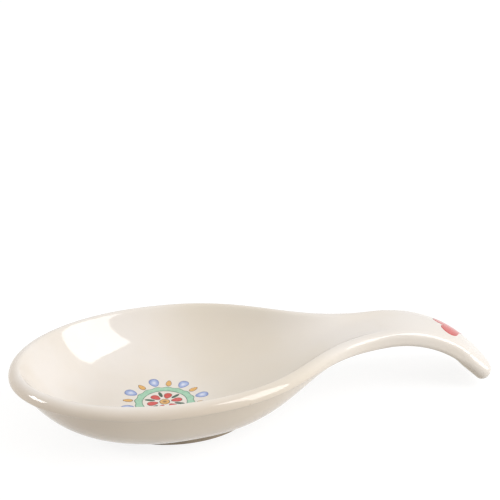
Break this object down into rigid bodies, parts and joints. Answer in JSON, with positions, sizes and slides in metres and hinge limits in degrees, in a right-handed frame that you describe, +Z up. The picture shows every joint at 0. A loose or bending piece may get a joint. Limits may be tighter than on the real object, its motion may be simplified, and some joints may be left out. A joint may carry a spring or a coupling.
{
  "type": "spoon rest",
  "caption": "Glazed ceramic spoon rest: egg-shaped bowl on a foot ring, drawn out into a waisted handle that hooks down, with a printed heart and flower medallion.",
  "frame": {"origin": "bottom centre of the whole rest, in the plane that the foot ring stands on", "axes": "+X from the bowl's nose to the handle's tip, +Y across the bowl, +Z up"},
  "size_m": [0.2462, 0.1146, 0.0375],
  "materials": {
    "glaze": "gloss",
    "print_red": "gloss",
    "print_ochre": "gloss",
    "print_green": "gloss",
    "print_mint": "gloss",
    "print_blue": "gloss"
  },
  "bodies": {
    "root": {"ceramic_body": "glaze", "heart_print": "print_red", "petal_print_1": "print_red", "petal_print_2": "print_red", "petal_print_3": "print_red", "petal_print_4": "print_red", "petal_print_5": "print_red", "petal_print_6": "print_red", "centre_print": "print_ochre", "bud_print_1": "print_ochre", "bud_print_2": "print_ochre", "bud_print_3": "print_ochre", "bud_print_4": "print_ochre", "bud_print_5": "print_ochre", "bud_print_6": "print_ochre", "bud_print_7": "print_ochre", "bud_print_8": "print_ochre", "leaf_print_1": "print_green", "leaf_print_2": "print_green", "leaf_print_3": "print_green", "leaf_print_4": "print_green", "leaf_print_5": "print_green", "leaf_print_6": "print_green", "band_print": "print_mint", "bloom_print_1": "print_blue", "bloom_print_2": "print_blue", "bloom_print_3": "print_blue", "bloom_print_4": "print_blue", "bloom_print_5": "print_blue", "bloom_print_6": "print_blue", "bloom_print_7": "print_blue", "bloom_print_8": "print_blue"}
  },
  "joints": []
}
